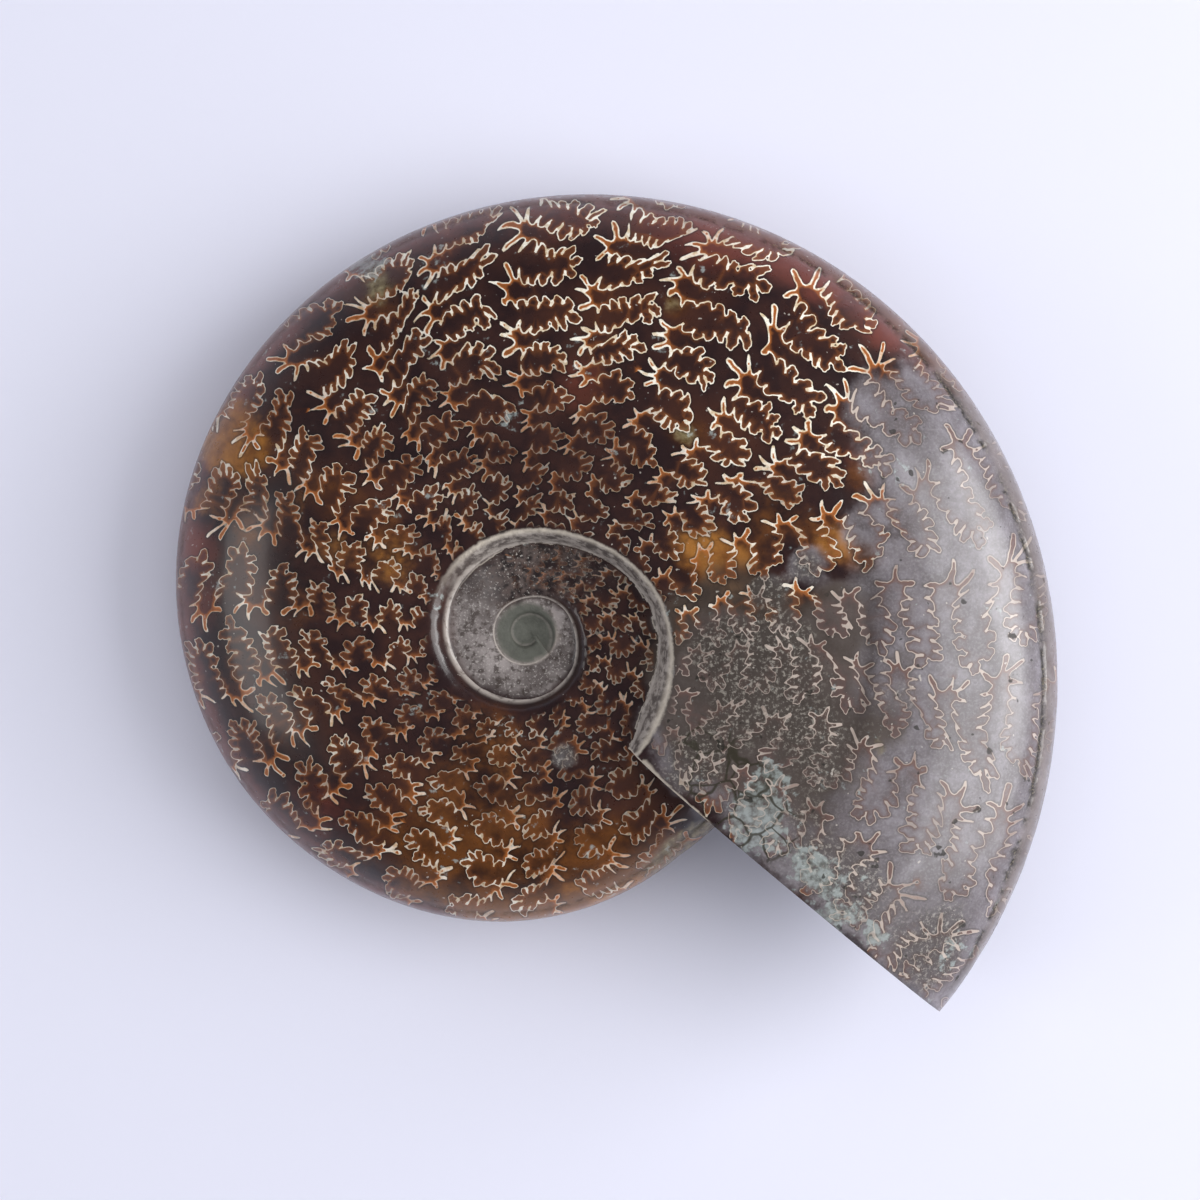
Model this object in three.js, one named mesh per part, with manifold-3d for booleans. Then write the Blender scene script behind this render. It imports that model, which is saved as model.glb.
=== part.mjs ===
// A polished fossil ammonite, lying on one flank: a flat spiral shell turned to stone, cut straight
// across its last whorl, with the inner whorls showing in the umbilicus on both flanks.
// Millimetres, +Z up. The origin is under the middle of the shell, on the surface it rests on.
// The shell grows clockwise as seen from above. Turn angles run backwards, from the cut inwards.
import * as THREE from "three";
import { mergeVertices } from "three/addons/utils/BufferGeometryUtils.js";
import Module from "manifold-3d";

// The spiral
const UMBILICUS = [-14.44, -5.4]; // middle of the spiral, in plan
const CUT_ANGLE = -40; // turn angle of the straight cut across the last whorl
const WHORL_RATIO = 2.08; // how much wider the shell gets in one turn
const TURN = 360;
const WHORLS_SHOWN = 3;
const CUT_OFFSET = 4.25; // the cut passes this far from the middle
const CUT_OFFSET_REACH = 18.7; // inside about this radius the section lines bend in to the middle

// [turn angle, radius] of the outer edge of the last whorl
const RIM = [
  [-39.4, 95.5],
  [-17.4, 92.7],
  [18.8, 87.4],
  [55, 81.4],
  [91.2, 75.1],
  [127.5, 69.2],
  [163.8, 63.8],
  [200.2, 58.2],
  [236.6, 53.2],
  [272.9, 49.8],
  [309.3, 46.3],
];

// [turn angle, radius] of the seam, where each whorl meets the one inside it
const SEAM = [
  [-40, 25.8],
  [-22, 23.1],
  [4, 22.3],
  [22, 21.2],
  [37, 19.6],
  [67, 16.7],
  [93, 15.3],
  [132, 14.3],
  [170, 13.6],
  [209, 12.7],
  [251, 11.7],
  [287, 11.0],
  [324, 9.9],
  [359, 8.4],
  [406, 7.3],
  [454, 5.95],
  [504, 5.6],
  [564, 5.4],
  [623, 5.3],
  [673, 4.9],
  [721, 4.25],
  [763, 3.75],
  [822, 3.1],
  [902, 2.5],
  [1040, 1.9],
];

// [turn angle, width in plan] of the steep umbilical wall just outside the seam
const WALL = [
  [-40, 1.6],
  [-22, 3.2],
  [4, 2.1],
  [37, 2.0],
  [93, 2.2],
  [170, 2.9],
  [251, 2.7],
  [324, 1.9],
  [454, 1.1],
  [721, 0.7],
  [1040, 0.5],
];

// [turn angle, half thickness] of the whorl at its thickest
const HALF_THICKNESS = [
  [-40, 20.2],
  [20, 20],
  [80, 18.2],
  [140, 16.2],
  [200, 15.5],
  [260, 15],
  [318, 14.4],
  [408, 13.4],
  [498, 12.4],
  [678, 11.4],
  [1040, 10.8],
];

// The section of a whorl
const CREST = 0.27; // where the flank is thickest, as a share of the way from seam to rim
const CREST_DIP = 0.05; // how far the flank dips from there to the umbilical wall
const FLANK_POWER = 2.3; // how late the flank turns down towards the rim
const RIM_POWER = 0.6; // how blunt the rim is
const INNERMOST_FOOT = 0.9; // height of the innermost seam, as a share of the half thickness
const MIDDLE_SHIFT = 0.9; // how far beside the centre the umbilicus is closed

// How it lies
const MID_HEIGHT = 18.45; // height of the shell's middle plane over the origin
const MID_RISE = 0.07; // the middle plane's rise along X, so that the whole lower flank touches

// The mesh
const STEP = 6; // degrees between section lines
const WALL_ROWS = 3;
const INNER_ROWS = 7; // rows across what shows of an inner whorl
const OUTER_ROWS = 23; // rows from seam to rim of the last whorl
const BLEND_COLUMNS = 8; // section lines over which the rows spread out from the inner whorl's

// Reads a smooth curve through a table of [x, y] at x.
function curve(table, x) {
  const last = table.length - 1;
  const slope = (i) => {
    const a = table[Math.max(i - 1, 0)];
    const b = table[Math.min(i + 1, last)];
    return (b[1] - a[1]) / (b[0] - a[0]);
  };
  let i = 0;
  while (i < last - 1 && x > table[i + 1][0]) i += 1;
  const [x0, y0] = table[i];
  const [x1, y1] = table[i + 1];
  const width = x1 - x0;
  const u = Math.min(Math.max((x - x0) / width, 0), 1);
  const ease = u * u * (3 - 2 * u);
  const bend = u * (1 - u) * width;
  return y0 + (y1 - y0) * ease + bend * ((1 - u) * slope(i) - u * slope(i + 1));
}

const seam = (angle) => curve(SEAM, angle);
const wall = (angle) => curve(WALL, angle);

// Radius of the outer edge. An inner whorl's is hidden, and a turn smaller.
function rim(angle) {
  if (angle > CUT_ANGLE + TURN) return rim(angle - TURN) / WHORL_RATIO;
  return curve(RIM, angle);
}

// Half thickness of the shell at a radius on a section line.
function halfHeight(angle, radius) {
  const inner = seam(angle);
  const share = Math.min(Math.max((radius - inner) / (rim(angle) - inner), 0), 1);
  const past = Math.max(share - CREST, 0) / (1 - CREST);
  const before = Math.max(CREST - share, 0) / CREST;
  const shape = (1 - past ** FLANK_POWER) ** RIM_POWER - CREST_DIP * before ** 2;
  const height = curve(HALF_THICKNESS, angle) * shape;
  const up = (radius - inner) / wall(angle);
  if (up >= 1) return height;
  const foot = footHeight(angle);
  return foot + (height - foot) * Math.sin((up * Math.PI) / 2);
}

// Half thickness at the seam, which is that of the whorl inside it.
function footHeight(angle) {
  const within = angle + TURN;
  const end = CUT_ANGLE + TURN * WHORLS_SHOWN;
  if (within > end) return INNERMOST_FOOT * curve(HALF_THICKNESS, angle);
  return halfHeight(within, seam(angle));
}

// A point of the surface. side is 1 on the upper flank and -1 on the lower one.
function surfacePoint(angle, radius, side, half) {
  const turn = THREE.MathUtils.degToRad(angle);
  const reach = 1 - Math.exp(-((radius / CUT_OFFSET_REACH) ** 2));
  const offset = CUT_OFFSET * reach;
  const along = Math.sqrt(radius * radius - offset * offset);
  const x = UMBILICUS[0] + along * Math.cos(turn) + offset * Math.sin(turn);
  const y = UMBILICUS[1] + along * Math.sin(turn) - offset * Math.cos(turn);
  return [x, y, MID_HEIGHT + MID_RISE * x + side * half];
}

// Radii of the rows on a section line of an inner whorl, from its own seam to the next one out.
function innerRows(angle) {
  const inner = seam(angle);
  const top = inner + wall(angle);
  const outer = seam(angle - TURN);
  const radii = [];
  for (let row = 0; row <= INNER_ROWS; row += 1) {
    const beyond = (row - WALL_ROWS) / (INNER_ROWS - WALL_ROWS);
    radii.push(row <= WALL_ROWS ? inner + (wall(angle) * row) / WALL_ROWS : top + (outer - top) * beyond);
  }
  return radii;
}

// Radii of the rows on a section line of the last whorl, from its seam to the rim.
function outerRows(angle) {
  const inner = seam(angle);
  const top = inner + wall(angle);
  const edge = rim(angle);
  const start = CUT_ANGLE + TURN;
  const near = Math.max(0, 1 - (start - angle) / (BLEND_COLUMNS * STEP));
  const startTop = seam(start) + wall(start);
  const startRows = innerRows(start);
  const joint = (startRows[INNER_ROWS] - startTop) / (rim(start) - startTop);
  const radii = [];
  for (let row = 0; row <= OUTER_ROWS; row += 1) {
    const even = (row - WALL_ROWS) / (OUTER_ROWS - WALL_ROWS);
    const usual = Math.sin((even * Math.PI) / 2);
    const beyond = (row - INNER_ROWS) / (OUTER_ROWS - INNER_ROWS);
    const matched =
      row <= INNER_ROWS
        ? (startRows[row] - startTop) / (rim(start) - startTop)
        : joint + (1 - joint) * Math.sin((beyond * Math.PI) / 2);
    const share = usual + (matched - usual) * near;
    radii.push(row <= WALL_ROWS ? inner + (wall(angle) * row) / WALL_ROWS : top + (edge - top) * share);
  }
  return radii;
}

const points = [];
const faces = [];

function addPoint(angle, radius, side, half) {
  points.push(surfacePoint(angle, radius, side, half));
  return points.length - 1;
}

// The section lines, from the cut inwards: first those of the last whorl, then those of the inner
// ones. Each is a list of point numbers from seam outwards, for the upper and the lower flank. An
// inner line ends on the seam of the whorl outside it.
const columns = TURN / STEP;
const lines = [];
for (let i = 0; i <= columns * WHORLS_SHOWN; i += 1) {
  const angle = CUT_ANGLE + i * STEP;
  const radii = i <= columns ? outerRows(angle) : innerRows(angle);
  const line = { upper: [], lower: [] };
  radii.forEach((radius, row) => {
    const isRim = row === OUTER_ROWS;
    const isSeam = row === INNER_ROWS && i >= columns;
    const half = isRim ? 0 : halfHeight(angle, radius);
    const outside = isSeam ? lines[i - columns] : null;
    line.upper.push(outside ? outside.upper[0] : addPoint(angle, radius, 1, half));
    if (isRim) line.lower.push(line.upper[row]);
    else line.lower.push(outside ? outside.lower[0] : addPoint(angle, radius, -1, half));
  });
  lines.push(line);
}

// A strip on each flank between every two neighbouring lines
function addQuad(a, b, c, d) {
  faces.push([a, b, c], [a, c, d]);
}
for (let i = 0; i < lines.length - 1; i += 1) {
  const [a, b] = [lines[i], lines[i + 1]];
  const rows = i < columns ? OUTER_ROWS : INNER_ROWS;
  for (let row = 0; row < rows; row += 1) {
    addQuad(a.upper[row], a.upper[row + 1], b.upper[row + 1], b.upper[row]);
    addQuad(a.lower[row], b.lower[row], b.lower[row + 1], a.lower[row + 1]);
  }
}

// The middle of the umbilicus, closed on each flank by a fan round a point beside the centre
function closeMiddle(flank, side) {
  const loop = lines.slice(columns * (WHORLS_SHOWN - 1)).map((line) => line[flank][0]);
  loop.push(...lines[lines.length - 1][flank].slice(1, -1));
  const end = CUT_ANGLE + TURN * WHORLS_SHOWN;
  const middle = addPoint(end + 90, MIDDLE_SHIFT, side, footHeight(end));
  loop.forEach((point, i) => {
    const next = loop[(i + 1) % loop.length];
    faces.push(side > 0 ? [middle, point, next] : [middle, next, point]);
  });
}
closeMiddle("upper", 1);
closeMiddle("lower", -1);

// The cut face: the whole section of the last whorl, less that of the whorl it wraps
function closeCut() {
  const cut = lines[0];
  const wrapped = lines[columns];
  const loop = [
    ...cut.upper,
    ...cut.lower.slice(0, -1).reverse(),
    ...wrapped.lower.slice(INNER_ROWS + 1),
    ...wrapped.upper.slice(INNER_ROWS + 1, -1).reverse(),
  ];
  const turn = THREE.MathUtils.degToRad(CUT_ANGLE);
  const flat = loop.map((i) => {
    const [x, y, z] = points[i];
    return new THREE.Vector2(x * Math.cos(turn) + y * Math.sin(turn), z);
  });
  THREE.ShapeUtils.triangulateShape(flat, []).forEach(([a, b, c]) => {
    faces.push([loop[a], loop[b], loop[c]]);
  });
}
closeCut();

// Grinds the lower flank flat where it would reach below the origin.
async function groundFlat(geometry) {
  const wasm = await Module();
  wasm.setup();
  const solidOf = ({ attributes, index }) => {
    const vertProperties = new Float32Array(attributes.position.array);
    const triVerts = new Uint32Array(index.array);
    return new wasm.Manifold(new wasm.Mesh({ numProp: 3, vertProperties, triVerts }));
  };
  const block = new THREE.BoxGeometry(400, 400, 400).translate(0, 0, 200);
  block.deleteAttribute("normal");
  block.deleteAttribute("uv");
  const mesh = solidOf(geometry).intersect(solidOf(mergeVertices(block))).getMesh();
  const ground = new THREE.BufferGeometry();
  ground.setAttribute("position", new THREE.BufferAttribute(mesh.vertProperties, 3));
  ground.setIndex(new THREE.BufferAttribute(mesh.triVerts, 1));
  ground.computeVertexNormals();
  return ground;
}

const raw = new THREE.BufferGeometry();
raw.setAttribute("position", new THREE.Float32BufferAttribute(points.flat(), 3));
raw.setIndex(faces.flat());

const polishedStone = new THREE.MeshStandardMaterial({ color: 0x3d241a, roughness: 0.2, metalness: 0 });
const ammonite = new THREE.Mesh(await groundFlat(raw), polishedStone);
ammonite.name = "ammonite";

const fossil = new THREE.Group();
fossil.add(ammonite);
export default fossil;
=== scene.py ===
import math

import bpy
import numpy as np
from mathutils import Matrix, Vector
from mathutils.geometry import delaunay_2d_cdt
from mathutils.kdtree import KDTree


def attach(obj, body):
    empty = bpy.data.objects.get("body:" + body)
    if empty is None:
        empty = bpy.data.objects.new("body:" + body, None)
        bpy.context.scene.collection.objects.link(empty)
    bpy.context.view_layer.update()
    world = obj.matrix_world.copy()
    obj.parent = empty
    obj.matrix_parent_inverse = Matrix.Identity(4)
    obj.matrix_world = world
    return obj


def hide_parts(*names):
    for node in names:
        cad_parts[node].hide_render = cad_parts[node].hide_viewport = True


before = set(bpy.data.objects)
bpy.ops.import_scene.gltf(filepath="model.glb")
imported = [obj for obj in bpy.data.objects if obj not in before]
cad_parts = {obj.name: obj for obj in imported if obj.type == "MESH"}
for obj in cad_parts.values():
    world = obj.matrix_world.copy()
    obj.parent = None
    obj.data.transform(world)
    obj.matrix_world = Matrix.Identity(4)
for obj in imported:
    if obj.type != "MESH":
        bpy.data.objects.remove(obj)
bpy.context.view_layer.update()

MM = 0.001
TURN = 360.0
PX = 0.17  # millimetres of shell per unit of the plan that the patches are placed on
PLAN_SIZE = 1200
PLAN_ORIGIN = (612.0, 601.0)
SUBJECT = (0.0, 0.0, 0.02)


def plan_point(px, py):
    """Where a point of the plan lies, in millimetres from the origin."""
    return (px - PLAN_ORIGIN[0]) * PX, (PLAN_ORIGIN[1] - py) * PX


# The camera
def new_object(name, data):
    thing = bpy.data.objects.new(name, data)
    bpy.context.scene.collection.objects.link(thing)
    return thing


def add_camera():
    data = bpy.data.cameras.new("camera")
    camera = new_object("camera", data)
    bpy.context.scene.camera = camera
    data.lens = 85.0
    data.sensor_width = 36.0
    in_focus = 0.024  # the height at which a unit of the plan is a unit of the picture
    distance = PLAN_SIZE * PX * MM * data.lens / data.sensor_width
    x, y = plan_point(PLAN_SIZE / 2, PLAN_SIZE / 2)
    camera.location = (x * MM, y * MM, in_focus + distance)
    camera.rotation_euler = (0.0, 0.0, 0.0)
    data.clip_start = 0.01
    data.clip_end = 20.0


add_camera()

# The shape of the shell
UMBILICUS = (-14.44, -5.4)
CUT_ANGLE = -40.0
WHORL_RATIO = 2.08
WHORLS_SHOWN = 3
CUT_OFFSET = 4.25
CUT_OFFSET_REACH = 18.7
LAP_ANGLE = CUT_ANGLE + TURN  # where the last whorl begins, beside the aperture
END_ANGLE = CUT_ANGLE + TURN * WHORLS_SHOWN
RIM = [
    (-39.4, 95.5), (-17.4, 92.7), (18.8, 87.4), (55, 81.4), (91.2, 75.1), (127.5, 69.2),
    (163.8, 63.8), (200.2, 58.2), (236.6, 53.2), (272.9, 49.8), (309.3, 46.3),
]
SEAM = [
    (-40, 25.8), (-22, 23.1), (4, 22.3), (22, 21.2), (37, 19.6), (67, 16.7), (93, 15.3),
    (132, 14.3), (170, 13.6), (209, 12.7), (251, 11.7), (287, 11.0), (324, 9.9), (359, 8.4),
    (406, 7.3), (454, 5.95), (504, 5.6), (564, 5.4), (623, 5.3), (673, 4.9), (721, 4.25),
    (763, 3.75), (822, 3.1), (902, 2.5), (1040, 1.9),
]
WALL = [
    (-40, 1.6), (-22, 3.2), (4, 2.1), (37, 2.0), (93, 2.2), (170, 2.9), (251, 2.7),
    (324, 1.9), (454, 1.1), (721, 0.7), (1040, 0.5),
]
HALF_THICKNESS = [
    (-40, 20.2), (20, 20.0), (80, 18.2), (140, 16.2), (200, 15.5), (260, 15.0), (318, 14.4),
    (408, 13.4), (498, 12.4), (678, 11.4), (1040, 10.8),
]
CREST = 0.27
CREST_DIP = 0.05
FLANK_POWER = 2.3
RIM_POWER = 0.6
INNERMOST_FOOT = 0.9
MID_HEIGHT = 18.45
MID_RISE = 0.07


def curve(table, x):
    """Reads a smooth curve through a table of (x, y) at x."""
    xs, ys = np.array(table, dtype=float).T
    low = np.maximum(np.arange(len(xs)) - 1, 0)
    high = np.minimum(np.arange(len(xs)) + 1, len(xs) - 1)
    slope = (ys[high] - ys[low]) / (xs[high] - xs[low])
    x = np.asarray(x, dtype=float)
    i = np.clip(np.searchsorted(xs, x) - 1, 0, len(xs) - 2)
    width = xs[i + 1] - xs[i]
    u = np.clip((x - xs[i]) / width, 0.0, 1.0)
    bend = u * (1 - u) * width
    eased = ys[i] + (ys[i + 1] - ys[i]) * u * u * (3 - 2 * u)
    return eased + bend * ((1 - u) * slope[i] - u * slope[i + 1])


def seam(angle):
    return curve(SEAM, angle)


def wall(angle):
    return curve(WALL, angle)


def rim(angle):
    """Radius of the outer edge; that of an inner whorl is hidden, and a turn smaller."""
    past = (np.asarray(angle, dtype=float) - CUT_ANGLE - TURN) / TURN
    turns = np.maximum(0, np.ceil(past - 1e-9))
    return curve(RIM, angle - turns * TURN) / WHORL_RATIO ** turns


def outer_edge(angle):
    """Radius at which a whorl ends in plain view: the rim, or the seam of the whorl round it."""
    return np.where(angle <= LAP_ANGLE, curve(RIM, angle), seam(angle - TURN))


def radius_at(edge, angle):
    """The radius of the rim or the seam at one angle."""
    return float(edge(np.array([angle]))[0])


def half_height(angle, radius):
    """Half thickness of the shell at a radius on a section line."""
    angle = np.asarray(angle, dtype=float)
    angle, radius = np.broadcast_arrays(angle, np.asarray(radius, dtype=float))
    inner = seam(angle)
    share = np.clip((radius - inner) / (rim(angle) - inner), 0, 1)
    past = np.maximum(share - CREST, 0) / (1 - CREST)
    before = np.maximum(CREST - share, 0) / CREST
    shape = (1 - past ** FLANK_POWER) ** RIM_POWER - CREST_DIP * before ** 2
    height = curve(HALF_THICKNESS, angle) * shape
    up = (radius - inner) / wall(angle)
    on_wall = up < 1
    if on_wall.any():
        foot = foot_height(angle[on_wall])
        rise = np.sin(np.clip(up[on_wall], 0, 1) * math.pi / 2)
        height = height.copy()
        height[on_wall] = foot + (height[on_wall] - foot) * rise
    return height


def foot_height(angle):
    """Half thickness at the seam, which is that of the whorl inside it."""
    height = INNERMOST_FOOT * curve(HALF_THICKNESS, angle)
    wrapped = angle + TURN <= END_ANGLE
    if wrapped.any():
        height[wrapped] = half_height(angle[wrapped] + TURN, seam(angle[wrapped]))
    return height


def rise_of(x, low, high):
    """0 to 1 as x goes from low to high, smoothly."""
    u = np.clip((x - low) / (high - low), 0, 1)
    return u * u * (3 - 2 * u)


def hill(x, middle, width):
    """1 at the middle, falling off smoothly on both sides."""
    return np.exp(-(((x - middle) / width) ** 2))


GROOVE_INSIDE = [(-40, 1.4), (-20, 3.1), (20, 3.4), (60, 2.6), (110, 1.7), (200, 1.4), (320, 2.3)]
GROOVE_DEPTH = [(-40, 0.0), (-28, 0.5), (25, 0.6), (60, 0.35), (110, 0.22), (220, 0.2), (320, 0.32)]
GROOVE_WIDTH = 0.55
CREASE_ANGLE = 2.0  # where along the whorl it is deepest
CREASE_DEPTH = 0.35
CREASE_WIDTH = 2.2
CREASE_REACH = 24.0


def crease_radius(angle):
    """The crease runs nearly round the coil, a little outward with the turn."""
    return 57.0 + 0.03 * angle


def worked_height(angle, radius):
    """The half height with the marks that polishing left: a groove by the rim and a soft crease."""
    height = half_height(angle, radius)
    outer = angle <= LAP_ANGLE
    inside = rim(angle) - radius
    groove = curve(GROOVE_DEPTH, angle) * hill(inside, curve(GROOVE_INSIDE, angle), GROOVE_WIDTH)
    crease = CREASE_DEPTH * hill(radius, crease_radius(angle), CREASE_WIDTH)
    crease = crease * hill(angle, CREASE_ANGLE, CREASE_REACH)
    marks = np.where(outer, groove + crease, 0.0)
    return np.maximum(height - marks * np.minimum(1.0, height / 2.0), 0.0)


def place(angle, radius, side, half):
    """Points of the surface, in millimetres. side is 1 on the upper flank and -1 on the lower."""
    turn = np.radians(angle)
    offset = CUT_OFFSET * (1 - np.exp(-((radius / CUT_OFFSET_REACH) ** 2)))
    along = np.sqrt(radius * radius - offset * offset)
    x = UMBILICUS[0] + along * np.cos(turn) + offset * np.sin(turn)
    y = UMBILICUS[1] + along * np.sin(turn) - offset * np.cos(turn)
    z = np.maximum(MID_HEIGHT + MID_RISE * x + side * half, 0.0)
    return np.stack([x, y, z], axis=1)


# The sutures
# They are drawn on the shell unrolled: across is the turn angle in radians, and depth is how far
# in from the rim, as a difference of natural logarithms of the radius. Both keep angles true.
PERIOD = 6.6  # millimetres in from one lobe of a suture to the next, at a radius of PERIOD_AT
PERIOD_AT = 35.4
PERIOD_POWER = 0.38
SPACING = 13.9  # degrees between sutures
FIRST_SUTURE = CUT_ANGLE + 5.0
LAST_SUTURE = LAP_ANGLE + 140
CALM_ANGLES = (115.0, 165.0)  # the sutures swing less and lie wider past these
WIDE_REACH = 0.213  # how far a suture swings, in radians
CALM_REACH_LOSS = 0.033
CALM_SPACING_GAIN = 0.07
# the swing of a suture and the length of its fingers, by lobes in from the rim
KEYS = [-1, 0, 0.5, 1, 1.5, 2, 2.5, 3, 4, 5, 7]
SWING = [0.9, 0.95, 0.95, 1.2, 1.1, 1.0, 1.05, 1.0, 0.95, 0.9, 0.8]
FINGER = [1.2, 1.4, 1, 1.9, 1, 1.7, 1, 1.6, 1.4, 1.2, 1.0]
FRILL_PITCH = 1.8  # millimetres along the line from one finger or leaflet to the next
FRILL_DEPTH = 0.83  # as a share of the pitch
COARSE_PITCH = 3.4  # on the lower flank, which the shell rests on
COARSE_DEPTH = 0.55


def frame_along(across, depth):
    """The direction of a line at each of its points, and the length of line up to there."""
    d_across, d_depth = np.gradient(across), np.gradient(depth)
    step = np.hypot(d_across, d_depth) + 1e-12
    return d_across / step, d_depth / step, np.cumsum(step)


def suture(seed, outer, inner, pitch, reach):
    """One suture from rim to seam: across, depth and how far it leans to the aperture."""
    random = np.random.default_rng(seed)
    power = 1 - PERIOD_POWER
    rate_in = power * PERIOD / PERIOD_AT ** PERIOD_POWER
    periods = (outer ** power - inner ** power) / rate_in
    s = np.linspace(-0.6, periods + 0.3, int((periods + 0.9) * 600))

    def wobble(amount, rate=1.0):
        knots = random.uniform(-1, 1, int((periods + 3) * rate) + 4) * amount
        return np.interp((s + 1) * rate, np.arange(len(knots)), knots)

    wave = np.cos(2 * math.pi * s)
    radius = (outer ** power - rate_in * s) ** (1 / power)
    local = PERIOD * (radius / PERIOD_AT) ** PERIOD_POWER / radius
    across = reach / 2 * np.minimum(PERIOD_AT / radius, 1.0) ** 0.25 * np.interp(s, KEYS, SWING)
    across = across * (1 + wobble(0.17))
    across = across * (wave - 0.16 * np.cos(4 * math.pi * s))
    bend = wobble(0.1) + 0.11 * np.sin(4 * math.pi * s) - 0.02 * np.sin(2 * math.pi * s)
    depth = np.log(outer / radius) + local * bend
    lobe = np.clip(wave, 0, 1) ** 0.7
    saddle = np.clip(-wave, 0, 1) ** 0.7
    side = 1 - np.maximum(lobe, saddle)

    # fingers on the lobes and leaflets on the saddles, a whole number of them to each
    ta, td, arc = frame_along(across, depth)
    scale = (radius / 50.0) ** 0.45
    whole = np.arange(math.ceil(s[0]), math.floor(s[-1]) + 1)
    at = np.interp(whole, s, arc)
    length = np.mean(np.diff(at))
    marks = np.r_[whole[0] - 1, whole, whole[-1] + 1]
    q = np.interp(arc, np.r_[at[0] - length, at, at[-1] + length], marks)
    here = np.interp(marks + 0.5, s, radius / scale) * length / pitch
    count = np.maximum(2 * np.round((here - 1) / 2) + 1, 3)
    q = q + 0.01 * np.sin(2 * math.pi * q)
    passed = np.interp(q, marks, np.r_[0, np.cumsum(count[:-1])])
    phase = 2 * math.pi * (passed + 0.5) + wobble(0.35, 4)
    share = FRILL_DEPTH if pitch < COARSE_PITCH else COARSE_DEPTH
    swell = pitch * share * scale / radius * (1 + wobble(0.25, 5))
    swell = swell * (0.85 * side + lobe * np.interp(s, KEYS, FINGER) + 1.25 * saddle)
    ripple = np.cos(phase) - 0.2 * (lobe + 0.5 * side) * np.cos(2 * phase)
    out = swell / 2 * (ripple - 0.42 * lobe + 0.25 * saddle)
    along = length / np.interp(s, marks, count)
    along = along * ((0.12 - 0.04 * lobe) * np.sin(phase) + 0.05 * saddle * np.sin(2 * phase))
    across, depth = across - td * out + ta * along, depth + ta * out + td * along

    # small teeth on those again, on the upper flank alone
    ta, td, arc = frame_along(across, depth)
    teeth = 0.3 * (pitch < COARSE_PITCH) * scale / radius * (0.25 * lobe + saddle + 0.6 * side)
    teeth = teeth * (1 + wobble(0.5, 9))
    run = np.r_[0, np.cumsum(np.diff(arc) * radius[1:] / scale[1:])]
    unrest = 0.7 * np.sin(run * 0.5 + seed)
    cusps = np.abs(np.sin(run * math.pi / 1.15 + unrest + 0.4 * np.sin(run * 1.1)))
    out = teeth * (cusps - 0.64)
    across, depth = across - td * out, depth + ta * out
    across = across + 0.10 * depth
    return across, depth, -wave


def warp(a, v):
    """A gentle unevenness shared by all sutures, so that they stay clear of each other."""
    new_a = a + 0.012 * np.sin(23 * v + 5 * a) + 0.007 * np.sin(61 * v - 31 * a + 1)
    new_v = v + 0.012 * np.sin(27 * a + 9 * v) + 0.006 * np.sin(57 * a + 41 * v + 2)
    return new_a + 0.03 * np.sin(7 * v + 3.1 * a), new_v + 0.03 * np.sin(9.3 * a + 4 * v)


def resample(points, values, step):
    """Points every step millimetres along a line; points are (angle in radians, log radius)."""
    scale = np.exp(points[:, 1])
    d = np.hypot(np.diff(points[:, 0]), np.diff(points[:, 1])) * 0.5 * (scale[1:] + scale[:-1])
    arc = np.r_[0, np.cumsum(d)]
    count = max(int(arc[-1] / step), 1) + 1
    at = np.linspace(0, arc[-1], count)
    new = np.stack([np.interp(at, arc, points[:, 0]), np.interp(at, arc, points[:, 1])], axis=1)
    return new, np.interp(at, arc, values)


def draw_sutures(step, pitch):
    """All suture lines of a flank as lists of points, each with its lean."""
    lines = []
    index = 0
    angle = FIRST_SUTURE
    while angle < LAST_SUTURE:
        inner = angle > LAP_ANGLE
        top, low = math.log(radius_at(rim, angle)), math.log(radius_at(seam, angle))
        calm = float(np.interp(angle, CALM_ANGLES, (0.0, 1.0)))
        reach = WIDE_REACH - CALM_REACH_LOSS * calm
        across, depth, lean = suture(100 + index, math.exp(top), math.exp(low), pitch, reach)
        a, v = warp(math.radians(angle) + across, top - depth)
        degrees = np.degrees(a)
        if inner:
            edge = rim(degrees)
            last = seam(degrees - TURN) - 0.3
            good = degrees > LAP_ANGLE + 0.5
        else:
            edge = rim(np.clip(degrees, CUT_ANGLE, LAP_ANGLE))
            last = edge - 0.6
            good = (degrees > CUT_ANGLE + 0.3) & (degrees < LAP_ANGLE - 0.3)
        v = v + np.log(edge) - top
        radius = np.exp(v)
        first = seam(degrees) + wall(degrees) + 0.25
        good &= (radius > first) & (radius < last)
        starts = np.flatnonzero(np.diff(np.r_[0, good.astype(int), 0]))
        for begin, end in zip(starts[::2], starts[1::2]):
            if end - begin < 12:
                continue
            points = np.stack([a[begin:end], v[begin:end]], axis=1)
            new, values = resample(points, lean[begin:end], step)
            if len(new) > 3:
                lines.append((index, new, values))
        angle += SPACING * (1 + CALM_SPACING_GAIN * calm + 0.05 * math.sin(index * 2.3))
        index += 1
    return lines


# The mesh of a flank
EDGE_STEP = 1.5  # degrees between points along the rim and the seams
EDGE_ANGLES = np.arange(CUT_ANGLE, END_ANGLE + 0.01, EDGE_STEP)
COLUMNS = int(TURN / EDGE_STEP)
WALL_SHARES = (0.14, 0.3, 0.5, 0.75, 1.0, 1.3)  # rows of points up the umbilical wall
RIM_ROWS = (0.12, 0.4, 0.9)  # and inside the rim, in millimetres
GROOVE_ROWS = (-0.9, -0.45, 0.0, 0.45, 0.9)  # and on both sides of the groove's floor
INNERMOST_ROW = 1.9  # the radius at which the loose points begin
ONE_WHORL_FROM = 27  # and past which only the outer whorl has any


def unrolled(angles, radii):
    return [(math.radians(a), math.log(r)) for a, r in zip(angles, radii)]


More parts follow.
